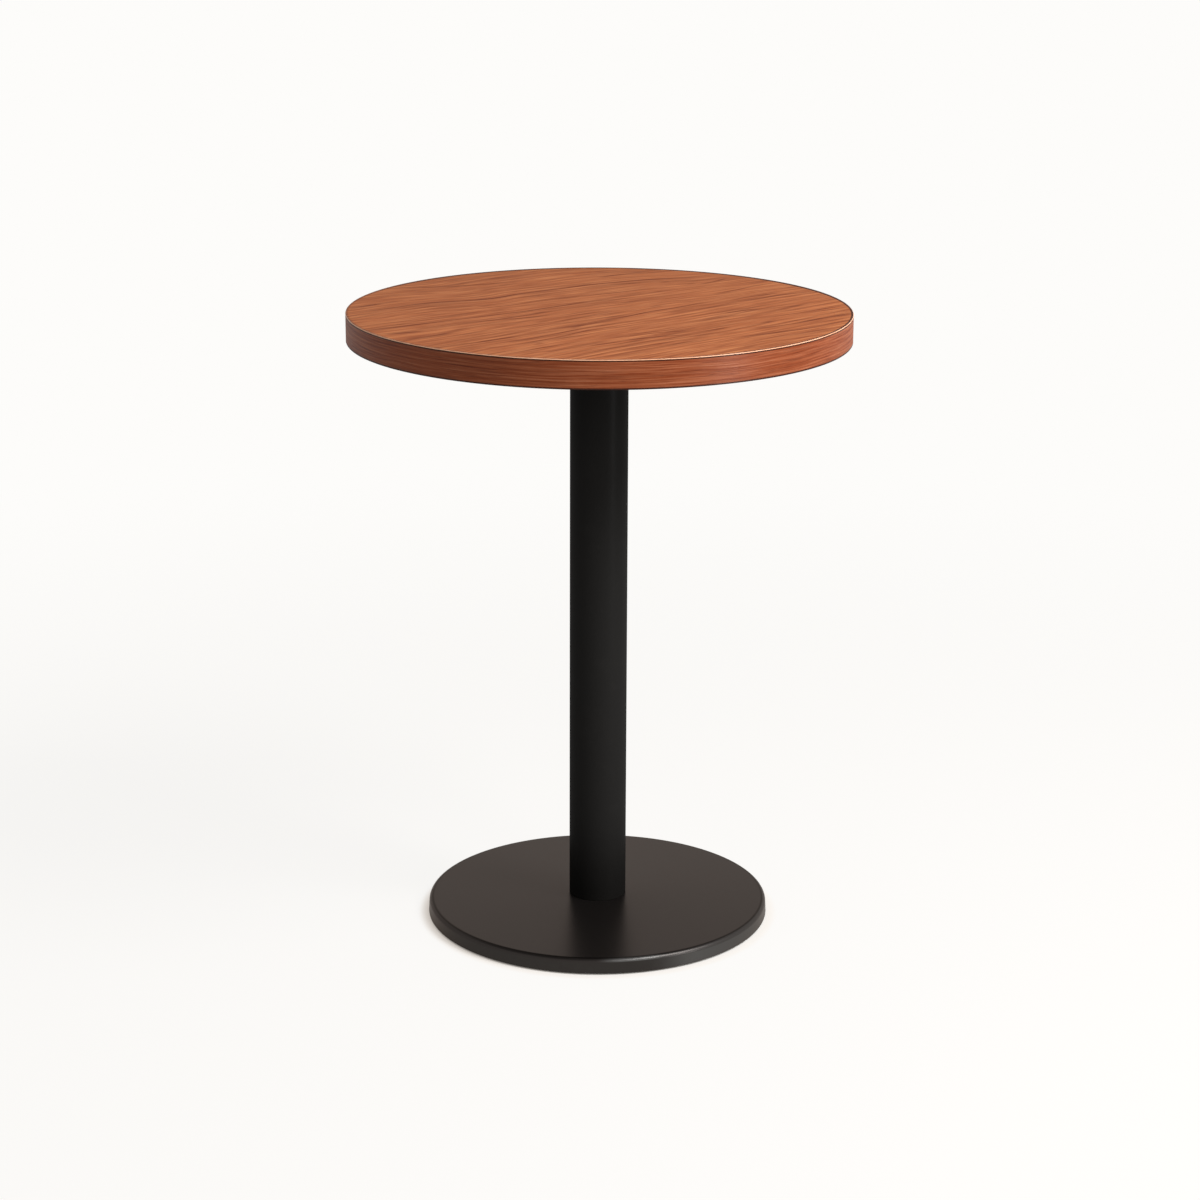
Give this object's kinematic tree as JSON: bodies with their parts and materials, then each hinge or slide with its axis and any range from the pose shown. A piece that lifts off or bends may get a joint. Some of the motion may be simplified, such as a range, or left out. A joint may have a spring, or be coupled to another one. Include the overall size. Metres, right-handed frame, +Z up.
{
  "type": "pedestal table",
  "caption": "Round wood-faced table top on a straight black steel column and a flat round cast base with levelling glides; dining height.",
  "frame": {"origin": "on the floor, under the middle of the column", "axes": "+Z up along the column; +X and +Y each pass over a levelling glide"},
  "size_m": [0.5999, 0.6, 0.76],
  "materials": {
    "top_wood": "reddish-brown wood grain, satin lacquer",
    "edge_wood": "reddish-brown wood strip, satin lacquer",
    "particleboard": "raw particleboard",
    "backing_sheet": "dark brown balancing sheet, matte",
    "column_paint": "black powder coat, satin",
    "cast_base": "black powder coat over cast iron, satin",
    "cast_bracket": "black paint over sand-cast skin, matte",
    "zinc_hardware": "bright zinc plate",
    "nylon": "black nylon"
  },
  "bodies": {
    "table": {"base_casting": "cast_base", "column_tube": "column_paint", "column_locator": "cast_bracket", "spider": "cast_bracket", "spider_screws": "zinc_hardware", "tie_rod": "zinc_hardware", "upper_washer": "zinc_hardware", "upper_spring_washer": "zinc_hardware", "upper_nut": "zinc_hardware", "lower_washer": "zinc_hardware", "lower_spring_washer": "zinc_hardware", "lower_nut": "zinc_hardware", "top_core": "particleboard", "top_face_sheet": "top_wood", "top_backing_sheet": "backing_sheet", "top_edge_band": "edge_wood"},
    "pad_1": {"glide_pad_1": "nylon"},
    "stud_1": {"glide_stud_1": "zinc_hardware"},
    "pad_2": {"glide_pad_2": "nylon"},
    "stud_2": {"glide_stud_2": "zinc_hardware"},
    "pad_3": {"glide_pad_3": "nylon"},
    "stud_3": {"glide_stud_3": "zinc_hardware"},
    "pad_4": {"glide_pad_4": "nylon"},
    "stud_4": {"glide_stud_4": "zinc_hardware"}
  },
  "joints": [
    {"name": "glide_1_height", "type": "slide", "parent": "table", "child": "pad_1", "axis": [0, 0, 1], "range_m": [-0.005, 0]},
    {"name": "glide_1_turn", "type": "hinge", "parent": "pad_1", "child": "stud_1", "pos_m": [0.178, 0, 0.006], "axis": [0, 0, 1], "range_deg": [-1440, 0]},
    {"name": "glide_2_height", "type": "slide", "parent": "table", "child": "pad_2", "axis": [0, 0, 1], "range_m": [-0.005, 0]},
    {"name": "glide_2_turn", "type": "hinge", "parent": "pad_2", "child": "stud_2", "pos_m": [0, 0.178, 0.006], "axis": [0, 0, 1], "range_deg": [-1440, 0]},
    {"name": "glide_3_height", "type": "slide", "parent": "table", "child": "pad_3", "axis": [0, 0, 1], "range_m": [-0.005, 0]},
    {"name": "glide_3_turn", "type": "hinge", "parent": "pad_3", "child": "stud_3", "pos_m": [-0.178, 0, 0.006], "axis": [0, 0, 1], "range_deg": [-1440, 0]},
    {"name": "glide_4_height", "type": "slide", "parent": "table", "child": "pad_4", "axis": [0, 0, 1], "range_m": [-0.005, 0]},
    {"name": "glide_4_turn", "type": "hinge", "parent": "pad_4", "child": "stud_4", "pos_m": [0, -0.178, 0.006], "axis": [0, 0, 1], "range_deg": [-1440, 0]}
  ],
  "couplings": [
    {"joint": "glide_1_height", "follows": "glide_1_turn", "m_per_rad": 0.00019894},
    {"joint": "glide_2_height", "follows": "glide_2_turn", "m_per_rad": 0.00019894},
    {"joint": "glide_3_height", "follows": "glide_3_turn", "m_per_rad": 0.00019894},
    {"joint": "glide_4_height", "follows": "glide_4_turn", "m_per_rad": 0.00019894}
  ]
}
